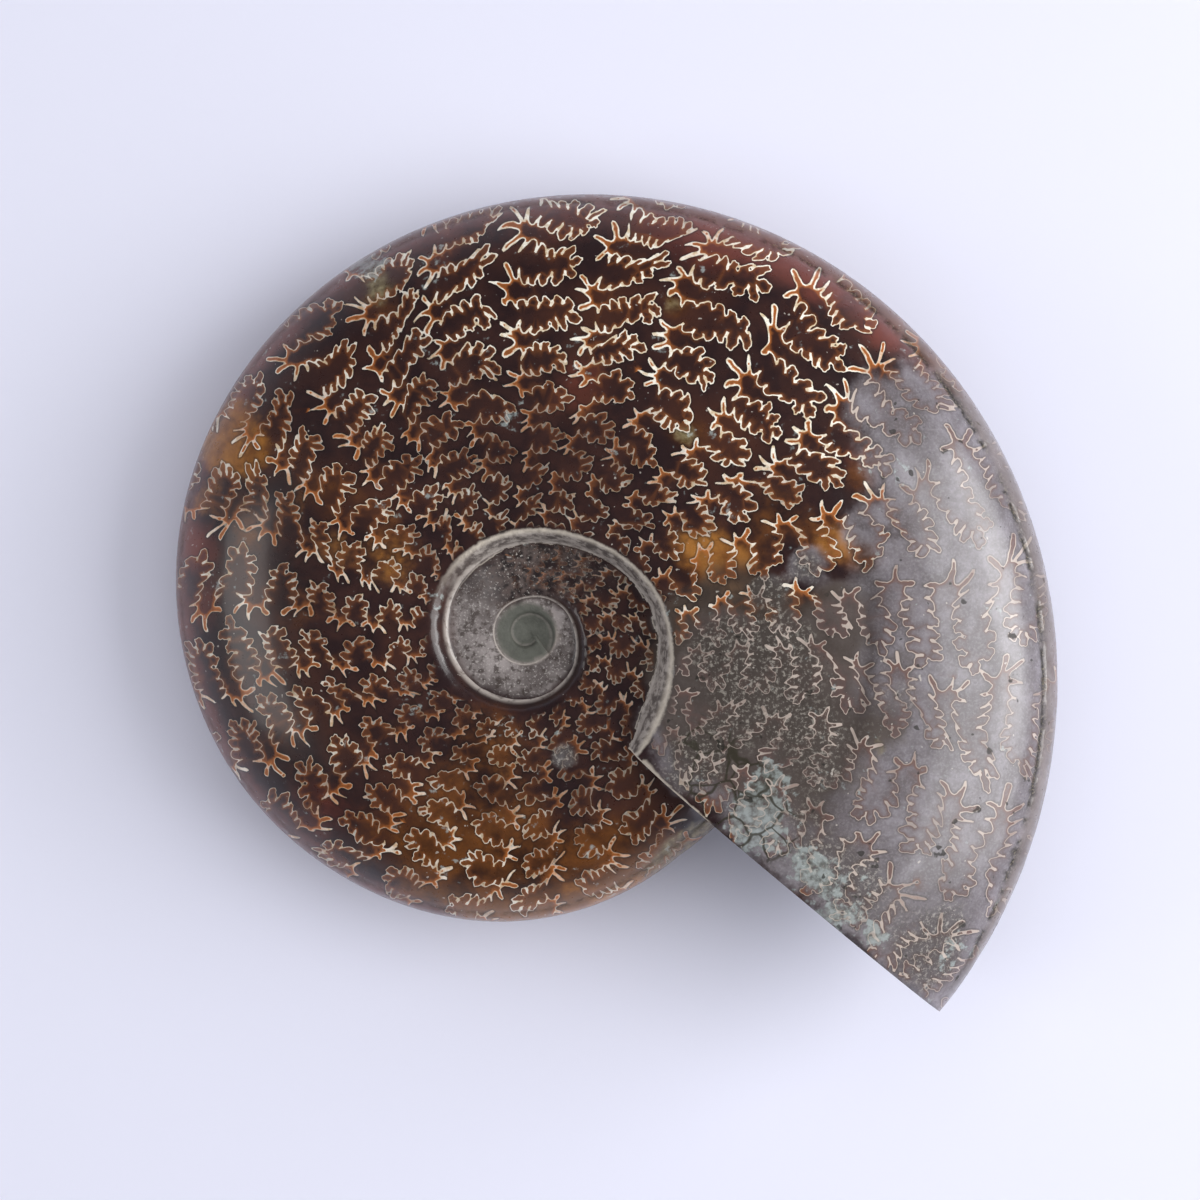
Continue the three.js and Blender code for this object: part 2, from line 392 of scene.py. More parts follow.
def outline():
    """The unrolled outline of a flank: its points, and the boundary edges that bind its mesh."""
    rim_angles = EDGE_ANGLES[: COLUMNS + 1]
    upper_angles = EDGE_ANGLES[COLUMNS + 1:]
    cut_low = radius_at(seam, CUT_ANGLE)

    def across_line(angle, low, high, count):
        radii = high - (high - low) * (1 - np.sin(np.linspace(0, math.pi / 2, count + 2)[1:-1]))
        return unrolled([angle] * count, radii)

    parts = {
        "seam": unrolled(EDGE_ANGLES, seam(EDGE_ANGLES)),
        "rim": unrolled(rim_angles, curve(RIM, rim_angles)),
        "cut": across_line(CUT_ANGLE, cut_low, float(curve(RIM, CUT_ANGLE)), 70),
        "wrap": across_line(LAP_ANGLE, cut_low, float(curve(RIM, LAP_ANGLE)), 26),
        "end": across_line(END_ANGLE, radius_at(seam, END_ANGLE),
                           radius_at(seam, END_ANGLE - TURN), 4),
        "joint": unrolled([LAP_ANGLE], [cut_low]),
        "upper": unrolled(upper_angles, seam(upper_angles - TURN)),
    }
    points, ids = [], {}
    for name, part in parts.items():
        ids[name] = list(range(len(points), len(points) + len(part)))
        points += part
    ids["joint"] = ids["joint"][0]
    chains = [
        ids["seam"],
        ids["rim"],
        [ids["seam"][0]] + ids["cut"] + [ids["rim"][0]],
        [ids["joint"]] + ids["wrap"] + [ids["rim"][-1]],
        [ids["joint"]] + ids["upper"],
        [ids["seam"][-1]] + ids["end"] + [ids["upper"][-1]],
    ]
    edges = [pair for chain in chains for pair in zip(chain[:-1], chain[1:])]
    return points, edges, ids


def inside_outline(angle, radius):
    between = (radius > seam(angle)) & (radius < outer_edge(angle))
    return (angle > CUT_ANGLE) & (angle < END_ANGLE) & between


def filling(step):
    """Loose points: a jittered lattice with rows up the umbilical wall, and rows by the rim."""
    random = np.random.default_rng(5)
    rows = []
    radius = INNERMOST_ROW
    row = 0
    while radius < 96:
        spacing = min(step, 0.2 + radius * 0.12)
        turns = np.arange(math.radians(CUT_ANGLE), math.radians(END_ANGLE), spacing / radius)
        if radius > ONE_WHORL_FROM:
            turns = turns[turns < math.radians(LAP_ANGLE)]
        shift = 0.5 * (row % 2) + random.uniform(-0.15, 0.15, len(turns))
        turns = turns + shift * spacing / radius
        radii = radius * (1 + random.uniform(-0.12, 0.12, len(turns)) * spacing / radius)
        rows.append(np.stack([turns, np.log(radii)], axis=1))
        radius += spacing * 0.87
        row += 1
    loose = np.concatenate(rows)
    degrees, radii = np.degrees(loose[:, 0]), np.exp(loose[:, 1])
    gap = np.minimum(step * 0.5, 0.06 * radii)
    near_line = np.abs(degrees - CUT_ANGLE) * radii * math.pi / 180 < gap
    near_line |= (np.abs(degrees - CUT_ANGLE - TURN) * radii * math.pi / 180 < gap) & (radii > 25)
    near_line |= np.abs(degrees - END_ANGLE) * radii * math.pi / 180 < gap
    keep = radii > seam(degrees) + wall(degrees) * WALL_SHARES[-1] + gap
    keep &= (radii < outer_edge(degrees) - gap) & ~near_line

    def row_of(angles, radii):
        return np.stack([np.radians(angles), np.log(radii)], axis=1)

    wall_rows = []
    for share in WALL_SHARES:
        angles = np.arange(CUT_ANGLE + 1.0, END_ANGLE - 1.0, EDGE_STEP)
        radii = seam(angles) + wall(angles) * share
        wall_rows.append(row_of(angles, radii)[radii < outer_edge(angles) - 0.15])
    angles = np.arange(CUT_ANGLE + 0.7, LAP_ANGLE - 0.7, 1.0)
    rim_rows = [row_of(angles, curve(RIM, angles) - inside) for inside in RIM_ROWS]
    for beside in GROOVE_ROWS:
        inside = curve(GROOVE_INSIDE, angles) + beside
        rim_rows.append(row_of(angles, curve(RIM, angles) - inside)[inside > 1.2])
    return np.concatenate([loose[keep]] + wall_rows), np.concatenate(rim_rows)


def tree_of(points):
    tree = KDTree(len(points))
    for i, (a, v) in enumerate(points):
        tree.insert((a, v, 0.0), i)
    tree.balance()
    return tree


def clear_of(tree, points, distance):
    """Which points are farther than a distance in millimetres from all points of the tree."""
    keep = np.empty(len(points), dtype=bool)
    for i, (a, v) in enumerate(points):
        found = tree.find((a, v, 0.0))
        keep[i] = found[2] * math.exp(v) > distance
    return keep


def thinned(points, distance):
    """The points, less those that lie within a distance in millimetres of an earlier one."""
    kept = []
    cells = {}
    for i, (a, v) in enumerate(points):
        x, y = math.exp(v) * math.cos(a), math.exp(v) * math.sin(a)
        column, row = math.floor(x / distance), math.floor(y / distance)
        around = (cells.get((column + dx, row + dy)) for dx in (-1, 0, 1) for dy in (-1, 0, 1))
        if any(math.hypot(x - near[0], y - near[1]) < distance for near in around if near):
            continue
        cells[column, row] = (x, y)
        kept.append(i)
    return points[kept]


def flank(step, line_step, offsets, pitch):
    """A flank's mesh, unrolled: points, triangles, distance to the nearest suture and folds."""
    border, border_edges, ids = outline()
    lines = draw_sutures(line_step, pitch)
    points = [np.array(border)]
    count = len(border)
    edges = list(border_edges)
    owner, lean = [], []
    for index, line, values in lines:
        edges += [(count + i, count + i + 1) for i in range(len(line) - 1)]
        owner += [index] * len(line)
        lean += list(values)
        points.append(line)
        count += len(line)
    line_tree = tree_of(np.concatenate([line for _, line, _ in lines]))
    for offset in offsets:
        beside = []
        for _, line, _ in lines:
            ta, tv, _ = frame_along(line[:, 0], line[:, 1])
            reach = offset / np.exp(line[:, 1])
            for sign in (1, -1):
                a, v = line[:, 0] - sign * tv * reach, line[:, 1] + sign * ta * reach
                beside.append(np.stack([a, v], axis=1))
        beside = np.concatenate(beside)
        degrees, radii = np.degrees(beside[:, 0]), np.exp(beside[:, 1])
        beside = beside[inside_outline(degrees, radii - 0.2) & inside_outline(degrees, radii + 0.2)]
        beside = beside[clear_of(line_tree, beside, offset * 0.75)]
        points.append(thinned(beside, offset * 0.95))
    loose = np.concatenate(filling(step))
    loose = loose[clear_of(line_tree, loose, offsets[-1] * 1.6)]
    points = np.concatenate(points + [loose])
    result = delaunay_2d_cdt([Vector(p) for p in points], edges, [], 0, 1e-7)
    out = np.array([tuple(p) for p in result[0]])
    faces = np.array(result[2])
    middle = out[faces].mean(axis=1)
    faces = faces[inside_outline(np.degrees(middle[:, 0]), np.exp(middle[:, 1]))]
    source = np.full(len(out), -1)
    for i, origin in enumerate(result[3]):
        if origin:
            source[i] = min(origin)
    suture_edges = {(min(edge), max(edge)) for edge, origin in zip(result[1], result[4])
                    if any(o >= len(border_edges) for o in origin)}
    return {
        "points": out, "faces": faces, "source": source, "ids": ids, "border": len(border),
        "line_tree": line_tree, "owner": np.array(owner), "lean": np.array(lean),
        "suture_edges": suture_edges,
    }


def fold_values(mesh):
    """For each point the distance to the nearest suture and its lean; for each corner its fold."""
    points, faces = mesh["points"], mesh["faces"]
    owner, lean = mesh["owner"], mesh["lean"]
    nearest = np.empty(len(points), dtype=int)
    distance = np.empty(len(points))
    for i, (a, v) in enumerate(points):
        found = mesh["line_tree"].find((a, v, 0.0))
        nearest[i] = found[1]
        distance[i] = found[2] * math.exp(v)
    on_line = (mesh["source"] >= mesh["border"]) & (mesh["source"] < mesh["border"] + len(owner))
    distance[on_line | (mesh["source"] < 0)] = 0.0
    neighbours = {}
    for f, (a, b, c) in enumerate(faces.tolist()):
        for edge in ((a, b), (b, c), (c, a)):
            neighbours.setdefault((min(edge), max(edge)), []).append(f)
    links = [[] for _ in range(len(faces))]
    label = [None] * len(faces)
    queue = []
    for key, pair in neighbours.items():
        if key not in mesh["suture_edges"]:
            if len(pair) == 2:
                links[pair[0]].append(pair[1])
                links[pair[1]].append(pair[0])
            continue
        first, last = key if nearest[key[0]] <= nearest[key[1]] else key[::-1]
        along = points[last] - points[first]
        for f in pair:
            toward = points[faces[f]].mean(axis=0) - points[first]
            # going in from the rim, the side nearer the aperture lies clockwise of the line
            side = 1 if along[0] * toward[1] - along[1] * toward[0] < 0 else -1
            if label[f] is None:
                label[f] = (owner[nearest[first]], side)
                queue.append(f)
    for f in queue:  # which grows while it is read
        for g in links[f]:
            if label[g] is None:
                label[g] = label[f]
                queue.append(g)
    fold = np.zeros((len(faces), 3))
    for f, corners in enumerate(faces.tolist()):
        if label[f] is None:
            continue
        k, side = label[f]
        for c, corner in enumerate(corners):
            near = nearest[corner]
            toward = side if owner[near] == k else -side
            fold[f, c] = min(max(0.5 - 0.9 * toward * lean[near], 0.0), 1.0)
    return distance, fold, lean[nearest]


# Patches of the stone
# (across, down, reach, strength) on the plan
GOLD = [
    (222, 432, 34, 1.0), (250, 455, 26, 0.8), (205, 500, 26, 0.5), (335, 500, 40, 0.6),
    (250, 535, 26, 0.6), (395, 548, 34, 0.6), (300, 600, 34, 0.4), (560, 870, 60, 0.6),
    (480, 868, 60, 0.6), (385, 292, 30, 0.5), (620, 870, 50, 0.5), (430, 810, 50, 0.4),
    (500, 780, 60, 0.5), (640, 850, 50, 0.4), (480, 735, 40, 0.4), (725, 570, 34, 1.0),
    (690, 555, 30, 0.7), (825, 540, 26, 1.0), (770, 520, 34, 0.6), (860, 560, 20, 0.8),
    (682, 440, 22, 0.9), (676, 312, 16, 0.7), (350, 660, 30, 0.3), (300, 730, 36, 0.35),
    (370, 850, 40, 0.4), (430, 868, 36, 0.7), (500, 900, 40, 0.9), (590, 905, 50, 1.0),
    (660, 885, 36, 1.0), (850, 480, 20, 0.6), (885, 610, 14, 0.6), (870, 740, 16, 0.6),
    (690, 850, 20, 0.9),
]
GREY = [
    (905, 425, 60, 0.9), (960, 480, 70, 1.0), (975, 570, 80, 1.2), (955, 660, 90, 1.3),
    (900, 740, 90, 1.2), (985, 760, 70, 1.2), (960, 860, 90, 1.3), (930, 950, 60, 1.2),
    (830, 700, 80, 1.1), (760, 700, 70, 1.1), (700, 720, 60, 1.1), (715, 640, 34, 0.8),
    (860, 850, 70, 1.2), (780, 800, 60, 1.2), (800, 565, 20, 0.8), (758, 590, 16, 0.8),
    (860, 400, 22, 0.6), (850, 525, 26, 0.55), (565, 755, 14, 0.7), (880, 640, 60, 1.0),
]
ROUGH = [
    (750, 690, 60, 0.9), (712, 640, 34, 0.7), (820, 740, 50, 0.7), (890, 690, 40, 0.5),
    (800, 568, 20, 0.9), (758, 590, 18, 1.0), (565, 755, 15, 1.0), (850, 880, 50, 0.7),
    (920, 950, 50, 0.8), (780, 640, 40, 0.6), (800, 830, 50, 0.6), (960, 900, 50, 0.4),
    (690, 760, 40, 0.8),
]
GREEN = [
    (755, 795, 30, 0.9), (740, 822, 26, 0.8), (800, 862, 24, 0.7), (826, 890, 30, 0.8),
    (868, 925, 24, 0.7), (950, 945, 28, 0.7), (372, 268, 24, 0.9), (690, 440, 12, 0.5),
    (772, 835, 24, 0.6), (640, 400, 10, 0.5), (770, 760, 20, 0.5),
]
RED = [
    (760, 232, 50, 0.9), (690, 212, 60, 0.8), (830, 275, 44, 0.9), (884, 330, 30, 0.9),
    (570, 205, 60, 0.5), (190, 545, 34, 0.8), (200, 610, 30, 0.5), (460, 240, 60, 0.4),
    (600, 385, 40, 0.35), (320, 810, 50, 0.5), (560, 400, 40, 0.3), (250, 700, 60, 0.3),
    (850, 470, 40, 0.4), (900, 560, 30, 0.4),
]
BROWN = [
    (700, 640, 60, 0.9), (735, 600, 40, 0.8), (740, 690, 70, 0.9), (800, 660, 60, 0.8),
    (760, 760, 60, 0.7), (700, 710, 50, 0.9), (835, 610, 40, 0.7), (830, 740, 50, 0.6),
    (890, 560, 16, 0.4), (895, 660, 20, 0.5), (885, 720, 30, 0.5), (900, 610, 16, 0.4),
    (960, 970, 40, 0.6), (820, 820, 40, 0.5),
]
OLIVE = [
    (700, 838, 22, 1.0), (675, 856, 20, 0.9), (650, 872, 16, 0.6), (378, 284, 24, 0.8),
    (682, 440, 16, 0.7), (672, 312, 12, 0.6), (870, 745, 12, 0.5), (790, 700, 12, 0.4),
]
HONEY = [
    (222, 432, 34, 1.0), (250, 455, 26, 0.8), (205, 500, 24, 0.6), (385, 560, 36, 0.5),
    (335, 545, 26, 0.45), (725, 570, 34, 0.8), (690, 555, 26, 0.6), (825, 545, 24, 0.7),
    (590, 912, 40, 0.7), (660, 890, 30, 0.8), (300, 505, 22, 0.4), (500, 775, 24, 0.4),
]
CRACKED = [
    (722, 775, 44, 1.0), (762, 822, 36, 0.9), (698, 742, 26, 0.7), (950, 540, 20, 0.3),
]
DIM = [
    (540, 705, 90, 1.0), (450, 670, 60, 0.7), (260, 640, 110, 0.25), (340, 740, 110, 0.35),
    (480, 840, 110, 0.3), (620, 860, 80, 0.3), (400, 560, 80, 0.25), (260, 520, 60, 0.35),
    (700, 240, 60, 0.4), (400, 330, 60, 0.3), (610, 660, 80, 0.9), (430, 560, 40, 0.5),
    (520, 505, 50, 0.6), (480, 480, 50, 0.5), (565, 770, 70, 0.7), (470, 750, 60, 0.5),
    (640, 790, 50, 0.5), (330, 590, 60, 0.3), (260, 330, 40, 0.4), (600, 560, 60, 0.5),
    (560, 590, 60, 0.8), (600, 475, 60, 0.7), (550, 440, 60, 0.6), (460, 400, 60, 0.5),
    (650, 540, 40, 0.5), (400, 470, 50, 0.4),
]
BOLD = [
    (520, 300, 80, 0.9), (620, 290, 90, 1.0), (740, 340, 80, 1.0), (800, 400, 80, 1.0),
    (690, 400, 70, 0.6), (330, 380, 60, 0.6), (400, 300, 60, 0.6), (380, 600, 50, 0.4),
    (300, 480, 50, 0.3), (720, 500, 60, 0.6), (530, 220, 60, 0.4), (450, 850, 40, 0.6),
    (740, 300, 60, 0.8), (560, 870, 50, 0.2), (440, 800, 30, 0.5), (600, 240, 70, 0.7),
    (460, 350, 60, 0.5), (770, 300, 60, 0.8), (840, 440, 50, 0.8),
]


def patch(table, x, y):
    """How far each point lies in the soft patches of a table, 0 to 1."""
    total = np.zeros(len(x))
    for px, py, reach, strength in table:
        cx, cy = plan_point(px, py)
        away = np.hypot(x - cx, y - cy) / (reach * PX)
        total += strength * np.exp(-(away ** 2.4))
    return np.clip(total, 0, 1)


# The whole shell as one mesh
POINT_VALUES = ("line", "turn", "up", "lean", "radius")
FLANKS = (  # side, spacing of loose points and of line points, rows beside the lines, frill pitch
    (1, 1.6, 0.42, (0.32, 0.78), FRILL_PITCH),
    (-1, 2.8, 0.95, (0.42,), COARSE_PITCH),
)
MIDDLE_RADIUS = 0.9
FLAT_FOLD = [0.0, 0.0, 0.0]


def cross(p, q, r):
    """Positive where p, q and r run counter-clockwise."""
    return (q[0] - p[0]) * (r[1] - p[1]) - (q[1] - p[1]) * (r[0] - p[0])


def along_cut(x, y):
    """How far a point lies along the line of the cut."""
    turn = math.radians(CUT_ANGLE)
    return x * math.cos(turn) + y * math.sin(turn)


def build_shell():
    """Vertices, faces, the folds of their corners, the points' values, and the cut's face count."""
    vertices, faces, folds, known = [], [], [], {}
    attributes = {name: [] for name in POINT_VALUES + ("side",)}

    def canonical(ids, border_id, side):
        if border_id == ids["joint"]:
            border_id = ids["seam"][0]
        first = ids["upper"][0]
        if first <= border_id <= ids["upper"][-1]:
            border_id = ids["seam"][border_id - first + 1]
        shared = ids["rim"][0] <= border_id <= ids["rim"][-1]
        return (border_id, 0 if shared else side)

    def add(point, *values):
        vertices.append(point)
        for name, value in zip(POINT_VALUES, values):
            attributes[name].append(value)
        return len(vertices) - 1

    for side, step, line_step, offsets, pitch in FLANKS:
        mesh = flank(step, line_step, offsets, pitch)
        distance, fold, leaning = fold_values(mesh)
        ids = mesh["ids"]
        degrees = np.degrees(mesh["points"][:, 0])
        radii = np.exp(mesh["points"][:, 1])
        half = worked_height(degrees, radii) if side > 0 else half_height(degrees, radii)
        rims = set(ids["rim"])
        half = np.array([0.0 if s in rims else h for s, h in zip(mesh["source"], half)])
        where = place(degrees, radii, side, half)
        up = (radii - seam(degrees)) / wall(degrees)
        index = {}
        for i in set(mesh["faces"].ravel().tolist()):
            values = (distance[i], degrees[i], up[i], leaning[i], radii[i])
            source = mesh["source"][i]
            if 0 <= source < mesh["border"]:
                key = canonical(ids, int(source), side)
                if key not in known:
                    known[key] = add(where[i], *values)
                index[i] = known[key]
            else:
                index[i] = add(where[i], *values)
        for corners, values in zip(mesh["faces"].tolist(), fold.tolist()):
            area = cross(*mesh["points"][corners])
            # the unrolled plane is seen from below when its angles run counter-clockwise
            order = (0, 1, 2) if (area < 0) == (side > 0) else (0, 2, 1)
            faces.append([index[corners[o]] for o in order])
            folds.append([values[o] for o in order])
            attributes["side"].append(side)

    def number(border_id, side):
        return known[canonical(ids, border_id, side)]

    # the middle of the umbilicus
    last_turn = ids["seam"][-COLUMNS - 1:]
    half = foot_height(np.array([END_ANGLE]))
    for side in (1, -1):
        loop = [number(i, side) for i in last_turn + ids["end"]]
        point = place(np.array([END_ANGLE + 90.0]), np.array([MIDDLE_RADIUS]), side, half)[0]
        middle = add(point, 3.0, END_ANGLE, 2.0, 0.0, MIDDLE_RADIUS)
        for a, b in zip(loop, loop[1:] + loop[:1]):
            faces.append([middle, a, b] if side > 0 else [middle, b, a])
            folds.append(FLAT_FOLD)
            attributes["side"].append(side)

    # the face of the cut
    loop = [number(i, 1) for i in [ids["seam"][0]] + ids["cut"] + [ids["rim"][0]]]
    loop += [number(i, -1) for i in ids["cut"][::-1] + [ids["seam"][0]] + ids["wrap"]]
    loop += [number(i, 1) for i in [ids["rim"][-1]] + ids["wrap"][::-1]]
    flat = [Vector((along_cut(*vertices[i][:2]), vertices[i][2])) for i in loop]
    edges = [(i, (i + 1) % len(flat)) for i in range(len(flat))]
    result = delaunay_2d_cdt(flat, edges, [], 1, 1e-6)
    numbers = [loop[origin[0]] for origin in result[3]]
    for a, b, c in result[2]:
        area = cross(result[0][a], result[0][b], result[0][c])
        corners = (a, b, c) if area > 0 else (a, c, b)
        faces.append([numbers[i] for i in corners])
        folds.append(FLAT_FOLD)
    return np.array(vertices), np.array(faces), np.array(folds), attributes, len(result[2])


vertices, faces, folds, attributes, cut_faces = build_shell()
shell_mesh = bpy.data.meshes.new("fossil_shell")
shell_mesh.from_pydata((vertices * MM).tolist(), [], faces.tolist())
shell_mesh.shade_smooth()


def point_attribute(name, values):
    layer = shell_mesh.attributes.new(name, "FLOAT", "POINT")
    layer.data.foreach_set("value", np.asarray(values, dtype=np.float32))


def fall_of(x, low, high):
    return 1 - rise_of(x, low, high)


LAST_RIM_ANGLE = 319.9  # just short of where the rim goes under the aperture
x, y = vertices[:, 0], vertices[:, 1]
turn_angle = np.array(attributes["turn"])
radius_all = np.array(attributes["radius"])
on_last = turn_angle <= LAP_ANGLE
inner = rise_of(turn_angle, 470.0, 530.0)
point_attribute("line", np.minimum(attributes["line"], 6.0))
point_attribute("lean", attributes["lean"])
point_attribute("matte", inner)
point_attribute("mottle", rise_of(turn_angle, 385.0, 450.0) * fall_of(turn_angle, 500.0, 560.0))
point_attribute("deep", fall_of(radius_all, 4.92, 5.2))
point_attribute("ring", hill(radius_all, 5.15, 0.25))
# where the crease is painted dark, as shade in its hollow
point_attribute("crease", hill(radius_all, crease_radius(turn_angle), 1.6)
                * hill(turn_angle, CREASE_ANGLE, 20.0))
# a pale line along the cut's edge: partly pale chipped shell, partly a painted highlight where the
# edge would catch the light
point_attribute("chipped_edge_and_glint", fall_of(turn_angle, CUT_ANGLE + 0.1, CUT_ANGLE + 1.0)
                * fall_of(radius_all, 38.0, 52.0))
point_attribute("wall", np.clip(attributes["up"], 0, 3))
point_attribute("wound", turn_angle)
point_attribute("pale", fall_of(turn_angle, 118.0, 175.0))
for name, table in (
    ("gold", GOLD), ("grey", GREY), ("rough", ROUGH), ("green", GREEN), ("red", RED),
    ("dim", DIM), ("bold", BOLD), ("brown", BROWN), ("olive", OLIVE), ("cracked", CRACKED),
    ("honey", HONEY),
):
    point_attribute(name, patch(table, x, y) * (1 - inner))
rim_radius = rim(np.minimum(turn_angle, LAST_RIM_ANGLE))
point_attribute("edge", rise_of(radius_all / rim_radius, 0.86, 1.0) * on_last)
past_groove = radius_all - rim_radius + curve(GROOVE_INSIDE, turn_angle)
grooved = np.clip(curve(GROOVE_DEPTH, turn_angle) * 2, 0, 1) * on_last
point_attribute("groove", hill(past_groove, 0.0, 0.42) * grooved)
point_attribute("bevel", rise_of(past_groove, 0.0, 0.6) * grooved)
layer = shell_mesh.attributes.new("fold", "FLOAT", "CORNER")
layer.data.foreach_set("value", folds.ravel().astype(np.float32))
sharp = shell_mesh.attributes.new("sharp_face", "BOOLEAN", "FACE")
flags = np.zeros(len(faces), dtype=bool)
flags[-cut_faces:] = True
sharp.data.foreach_set("value", flags)

MAP_LEFT, MAP_DOWN = 70, 74  # millimetres that the spread shell reaches from the umbilicus
UPPER_SCALE, LOWER_SCALE, CUT_SCALE = 0.00375, 0.00238, 0.0042  # of the map to a millimetre


def lay_out_bake():
    """One map without overlaps: upper flank large, lower flank smaller, the cut face beside it."""
    share = np.clip((radius_all / rim_radius - 0.7) / 0.3, 0, 1) * on_last
    wide = 1 + 0.1 * share ** 3
    flat_x = (x - UMBILICUS[0]) * wide + MAP_LEFT
    flat_y = (y - UMBILICUS[1]) * wide + MAP_DOWN
    upper = np.stack([0.01 + flat_x * UPPER_SCALE, 0.40 + flat_y * UPPER_SCALE], axis=1)
    lower = np.stack([0.01 + flat_x * LOWER_SCALE, 0.01 + flat_y * LOWER_SCALE], axis=1)
    along = along_cut(x, y) - 5
    cut = np.stack([0.50 + along * CUT_SCALE, 0.08 + vertices[:, 2] * CUT_SCALE], axis=1)
    maps = np.empty((len(faces), 3, 2))
    split = len(faces) - cut_faces
    on_top = np.array(attributes["side"])[:split] > 0
    maps[:split][on_top] = upper[faces[:split][on_top]]
    maps[:split][~on_top] = lower[faces[:split][~on_top]]
    maps[split:] = cut[faces[split:]]
    layer = shell_mesh.uv_layers.new(name="OFBake")
    layer.data.foreach_set("uv", maps.ravel().astype(np.float32))


lay_out_bake()


# Materials
def linear(red, green, blue):
    """A colour given in display values of 0 to 255."""
    def one(value):
        value /= 255.0
        return value / 12.92 if value <= 0.04045 else ((value + 0.055) / 1.055) ** 2.4
    return (one(red), one(green), one(blue), 1.0)


class Nodes:
    """Short ways to add shader nodes and join them."""

    def __init__(self, name):
        self.material = bpy.data.materials.new(name)
        self.material.use_nodes = True
        self.tree = self.material.node_tree
        self.tree.nodes.clear()

    def add(self, kind, **settings):
        node = self.tree.nodes.new(kind)
        for key, value in settings.items():
            setattr(node, key, value)
        return node

    def feed(self, socket, value):
        if isinstance(value, bpy.types.NodeSocket):
            self.tree.links.new(value, socket)
        else:
            socket.default_value = value

    def math(self, operation, a, b=0.0, c=0.0):
        node = self.add("ShaderNodeMath", operation=operation)
        for socket, value in zip(node.inputs, (a, b, c)):
            self.feed(socket, value)
        return node.outputs[0]

    def mix(self, factor, a, b):
        """Between two colours, each a socket or three display values."""
        node = self.add("ShaderNodeMix", data_type="RGBA")
        self.feed(node.inputs[0], factor)
        for socket, value in zip(node.inputs[6:8], (a, b)):
            self.feed(socket, linear(*value) if isinstance(value, tuple) else value)
        return node.outputs[2]

    def smooth(self, value, low, high, start=0.0, end=1.0):
        node = self.add("ShaderNodeMapRange", interpolation_type="SMOOTHSTEP")
        for socket, item in zip(node.inputs, (value, low, high, start, end)):
            self.feed(socket, item)
        return node.outputs[0]

    def noise(self, coordinates, scale, detail, roughness=0.5):
        node = self.add("ShaderNodeTexNoise")
        self.feed(node.inputs["Vector"], coordinates)
        node.inputs["Scale"].default_value = scale
        node.inputs["Detail"].default_value = detail
        node.inputs["Roughness"].default_value = roughness
        return node.outputs[0]

    def attribute(self, name):
        return self.add("ShaderNodeAttribute", attribute_name=name).outputs["Fac"]

    def surface(self):
        """The shader that the surface shows."""
        shader = self.add("ShaderNodeBsdfPrincipled")
        output = self.add("ShaderNodeOutputMaterial")
        self.feed(output.inputs["Surface"], shader.outputs[0])
        return shader


